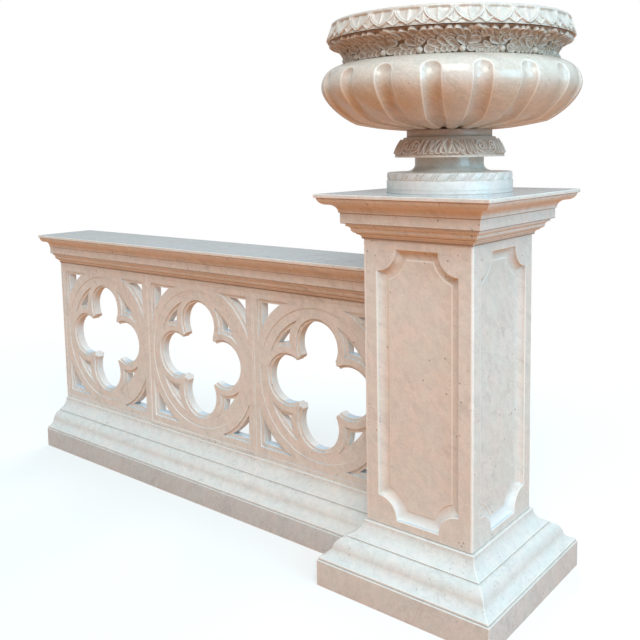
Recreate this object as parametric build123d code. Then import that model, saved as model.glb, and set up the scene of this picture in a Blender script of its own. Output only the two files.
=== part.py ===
"""Stone balustrade: a square pier with a fluted urn, and a pierced rail that runs off it in bays.

Millimetres, +Z up.  The origin is on the ground at the centre of the pier.  The rail runs
towards -X, its front faces -Y, and its far end is a plain cut face.
"""
from build123d import *
from math import cos, pi, sin, sqrt
import os

# ---------------------------------------------------------------- driving dimensions

# pier
SHAFT_SIDE = 400.0            # square shaft, across the flats
SHAFT_WALL = 70.0             # thickness of the four mitred shaft slabs
CAP_ABOVE_COPING = 107.0      # from the top of the rail's coping to the pier's cap mouldings

# base mouldings, shared by pier and rail; a reach is measured out from the face above
PLINTH_HEIGHT = 89.0
PLINTH_REACH = 123.0
BASE_FILLET = 9.0
BASE_LOWER_HEIGHT = 74.5      # a curve, hollow below and full above
BASE_LOWER_HOLLOW = 6.0
BASE_LOWER_SWELL = 7.5
BASE_LOWER_TREAD = 3.0        # flat left round the stone above
BASE_UPPER_HEIGHT = 56.5      # a hollow between two fillets
BASE_UPPER_REACH = 50.0
BASE_UPPER_HOLLOW = 8.0

# cap and coping mouldings, shared by pier and rail
BED_HEIGHT = 51.0             # bed mould, under the plain band
BED_FILLET = 5.0
BED_LISTEL = 4.0              # upright strip between two of its curves
BED_CURVE = 2.5               # sagitta of its hollows and of its round
BED_SOFFIT = 12.0             # underside of the plain band that is left outside it
BAND_HEIGHT = 34.5
BAND_REACH = 54.5
CROWN_HEIGHT = 96.0           # plain band, curved moulding and top fillet
CROWN_REACH = 115.0
CROWN_STEP = 4.0              # fillet over the band
CROWN_CURVE = 6.5             # sagitta of its hollow and of its swell
CROWN_NOSING = 6.0            # the top fillet stands this far out from the curve
TOP_FILLET = 12.0

# shaft panels
SHAFT_PANEL_SIDE_MARGIN = 50.0
SHAFT_PANEL_END_MARGIN = 29.0
SHAFT_PANEL_NOTCH = 72.0      # radius of the hollow corners
SHAFT_PANEL_BORDER = 34.0
SHAFT_PANEL_DEPTH = 20.0
SHAFT_PANEL_ARRIS = 4.0       # straight edge before the border curves in
SHAFT_PANEL_STEPS = 3

# rail
BAYS = 3
BAY_LENGTH = 668.0
PANEL_HEIGHT = 694.0
PANEL_THICKNESS = 60.0
PIER_STILE = 26.0             # plain strip between the last bay and the pier
CUT_STILE = 10.0              # plain strip at the cut end

# tracery of one bay, drawn about the centre of its ring
RING_RISE = 2.0               # the ring's centre above the middle of the panel
MULLION_STRIP = 16.0          # raised flat strip between two bays
RAIL_STRIP = 15.0             # raised flat strip under the coping and over the base
FIELD_STEP = 2.5              # the field lies this far under the strips
SPANDREL_MARGIN = 22.0        # from the strips to the corner openings
DISC_MARGIN = 28.0            # and to the disc inside the ring
DISC_STEP = 3.0               # the disc lies this far under the field
RING_OVERLAP = 7.0            # the ring's outer edge runs this far past the strips' edge
RING_BAND = 73.0              # width of the ring
LOBE_CLEARANCE = 2.0          # from the ring's inner edge to the lobes
LOBE_SHARE = 0.409            # radius of a lobe, as part of the quatrefoil's reach
CUSP_SHARE = 0.5155           # from the centre to the blunt tip of a cusp, likewise
LOBE_BAND = 26.5              # width of the band round a lobe
LOBE_LEDGE = 11.0             # width of the sunk ledge round the quatrefoil
SPANDREL_LEDGE = 14.0         # and round the corner and eye openings
LEDGE_DEPTH = 8.0

# urn, from the cap up
DRUM_RADIUS = 203.0
DRUM_HEIGHT = 40.0
ROPE_HEIGHT = 24.0
ROPE_SETBACK = 6.0            # the rope ring's top and bottom edges lie inside the drum's face
STEM_RADIUS = 111.0
STEM_FLARE = 34.0
STEM_FLARE_HEIGHT = 22.0
STEM_HEIGHT = 48.0
COLLAR_RADIUS = 176.0
COLLAR_TOP_RADIUS = 150.0
COLLAR_LIP = 7.0
COLLAR_HEIGHT = 63.0
NECK_DISC_SETBACK = 13.0
NECK_DISC_HEIGHT = 23.0
BOWL_RADIUS = 411.0
BOWL_FOOT_RADIUS = 150.0
BOWL_TURN_SETBACK = 105.0     # where the flat underside turns up into the belly
BOWL_TURN_HEIGHT = 22.0
BOWL_BELLY_HEIGHT = 137.0     # from the foot to the widest level
BOWL_SHOULDER_HEIGHT = 69.0   # from there to the leaf neck
BELLY_BANDS = 4               # straight bands that follow the belly's curve
SHOULDER_BANDS = 3
SHOULDER_LEDGE = 12.0         # flat left round the leaf neck
BOWL_FLOOR = 45.0
BASIN_CHAMFER = 45.0
LEAF_NECK_SETBACK = 81.0      # inside the bowl's widest radius
LEAF_NECK_WALL = 45.0
LEAF_NECK_WAIST = 22.0
LEAF_NECK_HEIGHT = 71.0
RIM_OVERHANG = 62.0           # beyond the leaf neck
RIM_SHADOW = 8.0              # the leaf neck's top stays this far inside the rim
RIM_LIP = 6.0
RIM_SPLAY = 18.0
RIM_HEIGHT = 58.0
FLUTES = 18
FLUTE_WIDTH = 57.0
FLUTE_FOOT_WIDTH = 24.0
FLUTE_DEPTH = 13.0
FLUTE_TURN = -6.0             # degrees that the first flute stands from +X

# ---------------------------------------------------------------- levels and places worked out

SHAFT_HALF = SHAFT_SIDE / 2
BASE_LOWER_TOP = PLINTH_HEIGHT + BASE_LOWER_HEIGHT
BASE_TOP = BASE_LOWER_TOP + BASE_UPPER_HEIGHT
COPING_SEAT = BASE_TOP + PANEL_HEIGHT
SHAFT_HEIGHT = PANEL_HEIGHT + BED_HEIGHT + CROWN_HEIGHT + CAP_ABOVE_COPING
CAP_SEAT = BASE_TOP + SHAFT_HEIGHT
CAP_TOP = CAP_SEAT + BED_HEIGHT + CROWN_HEIGHT

PANEL_HALF = PANEL_THICKNESS / 2
RAIL_START = -SHAFT_HALF
RAIL_LENGTH = BAYS * BAY_LENGTH + PIER_STILE + CUT_STILE
RAIL_END = RAIL_START - RAIL_LENGTH

# the tracery fills the largest square inside the strips of its bay
FIELD_WIDTH = BAY_LENGTH - MULLION_STRIP
FIELD_HEIGHT = PANEL_HEIGHT - 2 * RAIL_STRIP
TRACERY_HALF = min(FIELD_WIDTH, FIELD_HEIGHT) / 2
SPANDREL_HALF = TRACERY_HALF - SPANDREL_MARGIN
DISC_RADIUS = TRACERY_HALF - DISC_MARGIN
RING_OUTER = TRACERY_HALF + RING_OVERLAP
RING_INNER = RING_OUTER - RING_BAND
QUATREFOIL_REACH = RING_INNER - LOBE_CLEARANCE
LOBE_RADIUS = LOBE_SHARE * QUATREFOIL_REACH
LOBE_CENTRE = QUATREFOIL_REACH - LOBE_RADIUS
CUSP_REACH = CUSP_SHARE * QUATREFOIL_REACH
RING_CENTRE = BASE_TOP + PANEL_HEIGHT / 2 + RING_RISE

BOWL_HEIGHT = BOWL_BELLY_HEIGHT + BOWL_SHOULDER_HEIGHT
LEAF_NECK_RADIUS = BOWL_RADIUS - LEAF_NECK_SETBACK
BASIN_RADIUS = LEAF_NECK_RADIUS - LEAF_NECK_WALL
RIM_RADIUS = LEAF_NECK_RADIUS + RIM_OVERHANG


# ---------------------------------------------------------------- moulding profiles
# Each returns the outline of one stone's side as a list of edges from its bottom to its top,
# in (reach beyond the face, height above the stone's bed).  Going up it, the stone is on the left.

def hollow(start, end, depth):
    """An arc that curves into the stone by this depth."""
    return SagittaArc(start, end, depth)


def swell(start, end, fullness):
    """An arc that curves out of the stone by this much."""
    return SagittaArc(start, end, -fullness)


def plinth_profile():
    return [Line((PLINTH_REACH, 0), (PLINTH_REACH, PLINTH_HEIGHT))]


def base_lower_profile():
    """A fillet, then a curve that is hollow at the foot and full above."""
    foot = (PLINTH_REACH - BASE_FILLET / 2, BASE_FILLET)
    head = (BASE_UPPER_REACH + BASE_LOWER_TREAD, BASE_LOWER_HEIGHT)
    turn = ((foot[0] + head[0]) / 2, (foot[1] + head[1]) / 2 - BASE_LOWER_HOLLOW)
    return [
        Line((foot[0], 0), foot),
        hollow(foot, turn, BASE_LOWER_HOLLOW),
        swell(turn, head, BASE_LOWER_SWELL),
    ]


def base_upper_profile():
    """A hollow between two fillets."""
    foot = (BASE_UPPER_REACH, BASE_FILLET / 2)
    head = (BASE_FILLET, BASE_UPPER_HEIGHT - BASE_FILLET)
    return [
        Line((BASE_UPPER_REACH, 0), foot),
        hollow(foot, head, BASE_UPPER_HOLLOW),
        Line(head, (BASE_FILLET, BASE_UPPER_HEIGHT)),
    ]


def bed_profile():
    """A fillet, then a hollow, a round and a hollow, each under an upright strip."""
    step = (BAND_REACH - BED_SOFFIT - BED_FILLET) / 3
    rise = (BED_HEIGHT - 2 * BED_FILLET) / 3
    reach, level = BED_FILLET, BED_FILLET
    edges = [Line((reach, 0), (reach, level))]
    for curve, top in ((hollow, level + rise), (swell, level + 2 * rise), (hollow, BED_HEIGHT)):
        head = (reach + step, level + rise - BED_LISTEL)
        edges += [curve((reach, level), head, BED_CURVE), Line(head, (head[0], top))]
        reach, level = head[0], top
    return edges


def crown_profile():
    """Plain band, fillet, a curve that is hollow below and full above, and the top fillet."""
    foot = (BAND_REACH + CROWN_STEP, BAND_HEIGHT + CROWN_STEP)
    head = (CROWN_REACH - CROWN_NOSING, CROWN_HEIGHT - TOP_FILLET)
    turn = ((foot[0] + head[0]) / 2, (foot[1] + head[1]) / 2)
    return [
        Line((BAND_REACH, 0), (BAND_REACH, BAND_HEIGHT)),
        Line((BAND_REACH, BAND_HEIGHT), (foot[0], BAND_HEIGHT)),
        Line((foot[0], BAND_HEIGHT), foot),
        hollow(foot, turn, CROWN_CURVE),
        swell(turn, head, CROWN_CURVE),
        Line(head, (CROWN_REACH, head[1])),
        Line((CROWN_REACH, head[1]), (CROWN_REACH, CROWN_HEIGHT)),
    ]


# ---------------------------------------------------------------- ways of using a profile

def section(profile, half_width):
    """The profile on both sides of a stone half_width from its middle, as a closed face."""
    right = [Pos(half_width, 0) * edge for edge in profile]
    left = [mirror(edge, about=Plane.YZ) for edge in right]
    low, high = right[0] @ 0, right[-1] @ 1
    closing = [Line((-low.X, low.Y), (low.X, low.Y)), Line((-high.X, high.Y), (high.X, high.Y))]
    return make_face(right + left + closing)


def square_stone(profile, half_width, bed):
    """A square stone with the profile mitred round its four sides."""
    face = section(profile, half_width)
    run_half = half_width + max(PLINTH_REACH, CROWN_REACH)
    run = extrude(Plane.XZ * face, amount=run_half, both=True)
    return Pos(0, 0, bed) * (run & Rot(Z=90) * run)


def rail_stone(profile, bed):
    """A stone of the rail: the profile on both sides, from the cut end to the shaft's face."""
    stone = extrude(Plane.YZ * section(profile, PANEL_HALF), amount=RAIL_LENGTH)
    return Pos(RAIL_END, 0, bed) * stone


# ---------------------------------------------------------------- pier

def shaft_panel_outline(inset):
    """A tall panel with a hollow quarter circle at each corner, drawn flat and centred."""
    corner_x = SHAFT_HALF - SHAFT_PANEL_SIDE_MARGIN
    corner_y = SHAFT_HEIGHT / 2 - SHAFT_PANEL_END_MARGIN
    outline = Rectangle(2 * (corner_x - inset), 2 * (corner_y - inset))
    notch = Circle(SHAFT_PANEL_NOTCH + inset)
    for x, y in ((1, 1), (-1, 1), (-1, -1), (1, -1)):
        outline -= Pos(x * corner_x, y * corner_y) * notch
    return outline


def shaft_slab(panelled):
    """The front slab of the shaft, mitred at both edges to meet its neighbours."""
    inner = SHAFT_HALF - SHAFT_WALL
    plan = Polyline(
        (-SHAFT_HALF, -SHAFT_HALF), (SHAFT_HALF, -SHAFT_HALF), (inner, -inner), (-inner, -inner),
        close=True,
    )
    slab = extrude(make_face(plan), amount=SHAFT_HEIGHT)
    if panelled:
        face_plane = Plane((0, -SHAFT_HALF, SHAFT_HEIGHT / 2), x_dir=(1, 0, 0), z_dir=(0, -1, 0))
        for step in range(SHAFT_PANEL_STEPS + 1):
            angle = step / SHAFT_PANEL_STEPS * pi / 2
            inset = SHAFT_PANEL_BORDER * (1 - cos(angle))
            depth = SHAFT_PANEL_ARRIS + (SHAFT_PANEL_DEPTH - SHAFT_PANEL_ARRIS) * sin(angle)
            slab -= face_plane * extrude(shaft_panel_outline(inset), amount=-depth)
    return Pos(0, 0, BASE_TOP) * slab


def pier():
    front = shaft_slab(panelled=True)
    return {
        "pier_plinth": square_stone(plinth_profile(), SHAFT_HALF, 0),
        "pier_base_lower": square_stone(base_lower_profile(), SHAFT_HALF, PLINTH_HEIGHT),
        "pier_base_upper": square_stone(base_upper_profile(), SHAFT_HALF, BASE_LOWER_TOP),
        "pier_shaft_front": front,
        "pier_shaft_right": Rot(Z=90) * front,
        "pier_shaft_back": Rot(Z=180) * front,
        "pier_shaft_left": Rot(Z=-90) * shaft_slab(panelled=False),
        "pier_cap_bed": square_stone(bed_profile(), SHAFT_HALF, CAP_SEAT),
        "pier_cap_crown": square_stone(crown_profile(), SHAFT_HALF, CAP_SEAT + BED_HEIGHT),
    }


# ---------------------------------------------------------------- tracery

def quatrefoil(inset=0.0):
    """Four lobes round a square, with a blunt cusp between each two."""
    shape = Rot(Z=45) * Rectangle(2 * CUSP_REACH, 2 * CUSP_REACH)
    for turn in range(4):
        shape += Rot(Z=90 * turn) * Pos(LOBE_CENTRE, 0) * Circle(LOBE_RADIUS - inset)
    return shape


def corner_opening(inset=0.0):
    """The opening between the ring and the top right corner of its square."""
    half = SPANDREL_HALF - inset
    return Pos(half / 2, half / 2) * Rectangle(half, half) - Circle(RING_OUTER + inset)


def eye_opening(inset=0.0):
    """The opening inside the ring, between the right lobe and the upper one."""
    reach = RING_INNER - inset
    shape = Circle(reach) & Pos(reach / 2, reach / 2) * Rectangle(reach, reach)
    lobe = Circle(LOBE_RADIUS + LOBE_BAND + inset)
    inner_tip = RING_INNER / sqrt(8)
    shape -= Pos(LOBE_CENTRE, 0) * lobe
    shape -= Pos(0, LOBE_CENTRE) * lobe
    shape -= Pos(inner_tip / 2, inner_tip / 2) * Rectangle(inner_tip, inner_tip)
    return shape


def from_both_faces(outline, face_half, depth):
    """Two sinkings of one outline, one in each face of a slab."""
    cut = extrude(outline, amount=PANEL_THICKNESS)
    return [Pos(0, 0, face_half - depth) * cut, Pos(0, 0, depth - face_half) * mirror(cut, about=Plane.XY)]


def ledged_opening(outline, face_half, ledge):
    """An opening right through the slab, with a sunk ledge round it on both faces."""
    through = extrude(outline(ledge), amount=PANEL_THICKNESS, both=True)
    return from_both_faces(outline(), face_half, LEDGE_DEPTH) + [through]


def tracery_slab(left_stile, right_stile):
    """One pierced slab, drawn flat about its ring: x along the rail, y up, z through the slab."""
    left = -BAY_LENGTH / 2 - left_stile
    right = BAY_LENGTH / 2 + right_stile
    slab = Pos((left + right) / 2, -RING_RISE) * Box(right - left, PANEL_HEIGHT, PANEL_THICKNESS)

    field_half = PANEL_HALF - FIELD_STEP
    disc_half = field_half - DISC_STEP
    cuts = from_both_faces(Pos(0, -RING_RISE) * Rectangle(FIELD_WIDTH, FIELD_HEIGHT), PANEL_HALF, FIELD_STEP)
    cuts += from_both_faces(Circle(DISC_RADIUS), field_half, DISC_STEP)
    cuts += ledged_opening(quatrefoil, disc_half, LOBE_LEDGE)
    between_lobes = ledged_opening(corner_opening, field_half, SPANDREL_LEDGE)
    between_lobes += ledged_opening(eye_opening, disc_half, SPANDREL_LEDGE)
    for turn in range(4):
        cuts += [Rot(Z=90 * turn) * cut for cut in between_lobes]
    return slab - cuts


def rail():
    plinth = rail_stone(plinth_profile(), 0)
    lower = rail_stone(base_lower_profile(), PLINTH_HEIGHT)
    upper = rail_stone(base_upper_profile(), BASE_LOWER_TOP)
    nodes = {
        "rail_plinth": plinth - square_stone(plinth_profile(), SHAFT_HALF, 0),
        "rail_base_lower": lower - square_stone(base_lower_profile(), SHAFT_HALF, PLINTH_HEIGHT),
        "rail_base_upper": upper - square_stone(base_upper_profile(), SHAFT_HALF, BASE_LOWER_TOP),
    }
    first_centre = RAIL_END + CUT_STILE + BAY_LENGTH / 2
    for bay in range(BAYS):
        left_stile = CUT_STILE if bay == 0 else 0
        right_stile = PIER_STILE if bay == BAYS - 1 else 0
        place = Pos(first_centre + bay * BAY_LENGTH, 0, RING_CENTRE)
        nodes[f"tracery_bay_{bay + 1}"] = place * Rot(X=90) * tracery_slab(left_stile, right_stile)
    nodes["coping_bed"] = rail_stone(bed_profile(), COPING_SEAT)
    nodes["coping_crown"] = rail_stone(crown_profile(), COPING_SEAT + BED_HEIGHT)
    return nodes


# ---------------------------------------------------------------- urn

def chain(points):
    """Straight edges from point to point."""
    return [Line(start, end) for start, end in zip(points, points[1:])]


def turned(edges, bed):
    """A closed half section in (radius, height), turned about the pier's axis."""
    return Pos(0, 0, bed) * revolve(Plane.XZ * make_face(edges), axis=Axis.Z)


def disc_stone(side, bed):
    """A round stone with a solid middle: side is its edge from bottom to top."""
    return turned(chain([(0, 0), *side, (0, side[-1][1]), (0, 0)]), bed)


def ring_stone(side, bed):
    """A round stone with the basin's opening through it: side is its edge from bottom to top."""
    height = side[-1][1]
    return turned(chain([(BASIN_RADIUS, 0), *side, (BASIN_RADIUS, height), (BASIN_RADIUS, 0)]), bed)


def bowl_side():
    """Corners of the bowl's outside, from its foot round to its shoulder, on two curves."""
    turn = (BOWL_RADIUS - BOWL_TURN_SETBACK, BOWL_TURN_HEIGHT)
    widest = (BOWL_RADIUS, BOWL_BELLY_HEIGHT)
    shoulder = (LEAF_NECK_RADIUS + SHOULDER_LEDGE, BOWL_HEIGHT)
    rise = BOWL_BELLY_HEIGHT - BOWL_TURN_HEIGHT
    belly = Bezier(
        turn, (turn[0] + BOWL_TURN_SETBACK / 2, turn[1] + rise / 4), (widest[0], widest[1] - rise / 3), widest)
    top = Bezier(
        widest, (widest[0], widest[1] + BOWL_SHOULDER_HEIGHT / 2), (widest[0] - SHOULDER_LEDGE * 3, BOWL_HEIGHT),
        shoulder)
    points = [belly @ (band / BELLY_BANDS) for band in range(BELLY_BANDS)]
    points += [top @ (band / SHOULDER_BANDS) for band in range(SHOULDER_BANDS + 1)]
    return [(BOWL_FOOT_RADIUS, 0)] + [(point.X, point.Y) for point in points]


def bore_radius(width, depth):
    """Radius of the round tool that leaves a groove of this width and depth."""
    return (width * width / 4 + depth * depth) / (2 * depth)


def flute_tool():
    """A round bar bent along the bowl's side, tapered under the foot, with a ball at its head."""
    radius = bore_radius(FLUTE_WIDTH, FLUTE_DEPTH)
    foot_depth = FLUTE_DEPTH * FLUTE_FOOT_WIDTH / FLUTE_WIDTH
    foot_radius = bore_radius(FLUTE_FOOT_WIDTH, foot_depth)
    side = bowl_side()[:-1]
    axis = []
    for index, (reach, height) in enumerate(side):
        before = side[max(index - 1, 0)]
        after = side[min(index + 1, len(side) - 1)]
        along = Vector(after[0] - before[0], after[1] - before[1]).normalized()
        clear = foot_radius - foot_depth if index == 0 else radius - FLUTE_DEPTH
        axis.append(Vector(reach + along.Y * clear, 0, height - along.X * clear))
    taper = axis[1] - axis[0]
    foot = Plane(axis[0], z_dir=taper) * Cone(
        foot_radius, radius, taper.length, align=(Align.CENTER, Align.CENTER, Align.MIN))
    bar_path = Polyline(*axis[1:])
    bar = sweep(Plane(axis[1], z_dir=bar_path % 0) * Circle(radius), path=bar_path, transition=Transition.RIGHT)
    return foot + Pos(axis[1]) * Sphere(radius) + bar + Pos(axis[-1]) * Sphere(radius)


def bowl(bed):
    basin = [
        (BASIN_RADIUS, BOWL_HEIGHT),
        (BASIN_RADIUS, BOWL_FLOOR + BASIN_CHAMFER),
        (BASIN_RADIUS - BASIN_CHAMFER, BOWL_FLOOR),
        (0, BOWL_FLOOR),
    ]
    body = turned(chain([(0, 0), *bowl_side(), *basin, (0, 0)]), 0)
    tool = flute_tool()
    pitch = 360 / FLUTES
    return Pos(0, 0, bed) * (body - [Rot(Z=FLUTE_TURN + pitch * count) * tool for count in range(FLUTES)])


def urn():
    rope_radius = DRUM_RADIUS - ROPE_SETBACK
    rope = [
        (rope_radius, 0),
        (DRUM_RADIUS, ROPE_HEIGHT / 3),
        (DRUM_RADIUS, ROPE_HEIGHT * 2 / 3),
        (rope_radius, ROPE_HEIGHT),
    ]
    stem = [(STEM_RADIUS + STEM_FLARE, 0), (STEM_RADIUS, STEM_FLARE_HEIGHT), (STEM_RADIUS, STEM_HEIGHT)]
    collar = [(COLLAR_RADIUS, 0), (COLLAR_RADIUS, COLLAR_LIP), (COLLAR_TOP_RADIUS, COLLAR_HEIGHT)]
    disc_radius = COLLAR_TOP_RADIUS - NECK_DISC_SETBACK
    leaf_neck = [
        (LEAF_NECK_RADIUS, 0),
        (LEAF_NECK_RADIUS, LEAF_NECK_WAIST),
        (RIM_RADIUS - RIM_SHADOW, LEAF_NECK_HEIGHT),
    ]
    rim = [(RIM_RADIUS, 0), (RIM_RADIUS, RIM_LIP), (RIM_RADIUS - RIM_SPLAY, RIM_HEIGHT)]

    rope_bed = CAP_TOP + DRUM_HEIGHT
    stem_bed = rope_bed + ROPE_HEIGHT
    collar_bed = stem_bed + STEM_HEIGHT
    disc_bed = collar_bed + COLLAR_HEIGHT
    bowl_bed = disc_bed + NECK_DISC_HEIGHT
    neck_bed = bowl_bed + BOWL_HEIGHT
    rim_bed = neck_bed + LEAF_NECK_HEIGHT
    return {
        "urn_foot_drum": disc_stone([(DRUM_RADIUS, 0), (DRUM_RADIUS, DRUM_HEIGHT)], CAP_TOP),
        "urn_rope_ring": disc_stone(rope, rope_bed),
        "urn_stem": disc_stone(stem, stem_bed),
        "urn_leaf_collar": disc_stone(collar, collar_bed),
        "urn_neck_disc": disc_stone([(disc_radius, 0), (disc_radius, NECK_DISC_HEIGHT)], disc_bed),
        "urn_bowl": bowl(bowl_bed),
        "urn_leaf_neck": ring_stone(leaf_neck, neck_bed),
        "urn_rim": ring_stone(rim, rim_bed),
    }


# ---------------------------------------------------------------- build and write

os.makedirs("parts", exist_ok=True)
for node, shape in {**pier(), **rail(), **urn()}.items():
    export_step(shape, f"parts/{node}.step")
    print(node, round(shape.volume))
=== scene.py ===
"""Looks of the stone balustrade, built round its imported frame.  Metres, +Z up; shapes are worked out in
millimetres, and MM turns them into metres."""

from math import acos, asin, atan2, cos, degrees, exp, hypot, pi, radians, sin, sqrt

import bmesh
import bpy
from mathutils import Matrix, Vector
from mathutils.geometry import delaunay_2d_cdt, interpolate_bezier


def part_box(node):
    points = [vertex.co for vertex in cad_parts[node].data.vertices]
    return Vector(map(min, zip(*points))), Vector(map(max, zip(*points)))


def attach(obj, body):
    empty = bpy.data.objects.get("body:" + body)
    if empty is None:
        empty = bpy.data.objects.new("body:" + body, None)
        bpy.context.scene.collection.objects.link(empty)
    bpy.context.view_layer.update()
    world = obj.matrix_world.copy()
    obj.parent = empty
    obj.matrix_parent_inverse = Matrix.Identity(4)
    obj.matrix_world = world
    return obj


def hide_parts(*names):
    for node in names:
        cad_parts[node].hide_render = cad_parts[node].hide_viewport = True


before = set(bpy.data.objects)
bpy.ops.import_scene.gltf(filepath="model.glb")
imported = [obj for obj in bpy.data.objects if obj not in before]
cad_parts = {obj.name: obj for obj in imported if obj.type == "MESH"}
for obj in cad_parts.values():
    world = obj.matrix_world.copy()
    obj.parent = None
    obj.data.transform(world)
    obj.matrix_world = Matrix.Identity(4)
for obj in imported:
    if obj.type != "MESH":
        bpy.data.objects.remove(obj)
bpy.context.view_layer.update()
MM = 0.001


# ---------------------------------------- node trees

class Nodes:
    """Short names for building one node tree."""

    def __init__(self, tree):
        self.nodes, self.links = tree.nodes, tree.links

    def join(self, source, socket):
        """Feeds a socket from another node, or sets it to a plain value."""
        if isinstance(source, bpy.types.NodeSocket):
            self.links.new(source, socket)
        else:
            socket.default_value = source

    def fed(self, node, inputs):
        """Fills in a node's inputs, by name or by number."""
        for key, source in inputs.items():
            self.join(source, node.inputs[key])
        return node

    def new(self, kind, inputs=None):
        return self.fed(self.nodes.new(kind), inputs or {})

    def ramp(self, value, low, high, out_low=0.0, out_high=1.0):
        """A value eased from one range into another."""
        node = self.nodes.new("ShaderNodeMapRange")
        node.interpolation_type = "SMOOTHSTEP"
        inputs = {"Value": value, "From Min": low, "From Max": high, "To Min": out_low, "To Max": out_high}
        return self.fed(node, inputs).outputs["Result"]

    def math(self, kind, *values):
        node = self.nodes.new("ShaderNodeMath")
        node.operation = kind
        return self.fed(node, dict(enumerate(values))).outputs[0]

    def mix(self, share, a, b, kind="MIX"):
        """Two colours mixed."""
        node = self.nodes.new("ShaderNodeMix")
        node.data_type = "RGBA"
        node.blend_type = kind
        return self.fed(node, {"Factor": share, "A": a, "B": b}).outputs["Result"]

    def blend(self, share, a, b):
        """Two shaders mixed."""
        return self.new("ShaderNodeMixShader", {"Fac": share, 1: a.outputs[0], 2: b.outputs[0]})


# ---------------------------------------- camera, floor and light

CAMERA_PLACE = (1.3324, -2.2285, 1.4537)
CAMERA_YAW = 38.451             # degrees left of +Y
CAMERA_PITCH = -6.101
CAMERA_ROLL = -0.857
CAMERA_LENS = 44.48
CAMERA_SHIFT = (-0.0386, -0.1336)
FLOOR_REACH = 30.0
FLOOR_GREY = (0.62, 0.62, 0.62, 1)
FLOOR_GLOW = 0.36
FLOOR_MIDDLE = -0.9             # the object's middle, from which the floor fades
FLOOR_FADE = (1.6, 4.2)         # where it starts to fade, and where it is white
WARM_BOUNCE = (0.57, 0.165, 0.02, 1)
WARM_SIDE = (0.25, 0.17, 0.10, 1)
COOL_SKY = (0.90, 0.98, 0.98, 1)
SKY_TURN = (0.05, 0.7)          # the light turns from warm to cool between these heights
SKY_LEVEL = 0.56
MIRRORED_WHITE = 0.42           # share of the white background that polished stone mirrors
MIRRORED_FLOOR = 0.15           # and of the pale floor


def link(name, data):
    made = bpy.data.objects.new(name, data)
    bpy.context.scene.collection.objects.link(made)
    return made


def camera():
    yaw, pitch, roll = radians(CAMERA_YAW), radians(CAMERA_PITCH), radians(CAMERA_ROLL)
    ahead = Vector((-sin(yaw) * cos(pitch), cos(yaw) * cos(pitch), sin(pitch)))
    level = Vector((cos(yaw), sin(yaw), 0))
    up = level.cross(ahead)
    right = cos(roll) * level + sin(roll) * up
    over = cos(roll) * up - sin(roll) * level
    data = bpy.data.cameras.new("camera")
    data.lens = CAMERA_LENS
    data.shift_x, data.shift_y = CAMERA_SHIFT
    data.clip_end = 100
    made = link("camera", data)
    turn = Matrix((right, over, -ahead)).transposed().to_4x4()
    made.matrix_world = Matrix.Translation(CAMERA_PLACE) @ turn
    bpy.context.scene.camera = made


def studio_floor():
    """A pale floor that keeps the stone's shadow, fades to white far off and throws warm light up."""
    reach = FLOOR_REACH
    mesh = bpy.data.meshes.new("floor")
    corners = [(-reach, -reach, 0), (reach, -reach, 0), (reach, reach, 0), (-reach, reach, 0)]
    mesh.from_pydata(corners, [], [(0, 1, 2, 3)])
    made = link("floor", mesh)
    material = bpy.data.materials.new("pale_floor")
    material.use_nodes = True
    s = Nodes(material.node_tree)
    s.nodes.clear()
    place = s.new("ShaderNodeTexCoord").outputs["Object"]
    centred = s.new("ShaderNodeMapping", {"Location": (-FLOOR_MIDDLE, 0, 0), "Vector": place})
    length = s.new("ShaderNodeVectorMath", {0: centred.outputs[0]})
    length.operation = "LENGTH"
    pale = s.new("ShaderNodeBsdfDiffuse", {"Color": FLOOR_GREY})
    glow = s.new("ShaderNodeEmission", {"Strength": FLOOR_GLOW})
    near = s.new("ShaderNodeAddShader", {0: pale.outputs[0], 1: glow.outputs[0]})
    seen = s.blend(s.ramp(length.outputs["Value"], *FLOOR_FADE), near, s.new("ShaderNodeEmission"))
    warm = s.new("ShaderNodeBsdfDiffuse", {"Color": WARM_BOUNCE})
    ray = s.new("ShaderNodeLightPath").outputs
    thrown = s.math("MULTIPLY_ADD", ray["Is Glossy Ray"], 1 - MIRRORED_FLOOR, ray["Is Diffuse Ray"])
    s.new("ShaderNodeOutputMaterial", {"Surface": s.blend(thrown, seen, warm).outputs[0]})
    mesh.materials.append(material)


def lamp(name, place, target, size, power, colour, mirrored=True):
    """A square soft lamp of a size and power in metres and watts, which polished stone may mirror."""
    data = bpy.data.lights.new(name, "AREA")
    data.size = size
    data.energy = power
    data.color = colour
    made = link(name, data)
    made.location = place
    made.rotation_euler = (Vector(target) - Vector(place)).to_track_quat("-Z", "Y").to_euler()
    made.visible_glossy = mirrored


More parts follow.
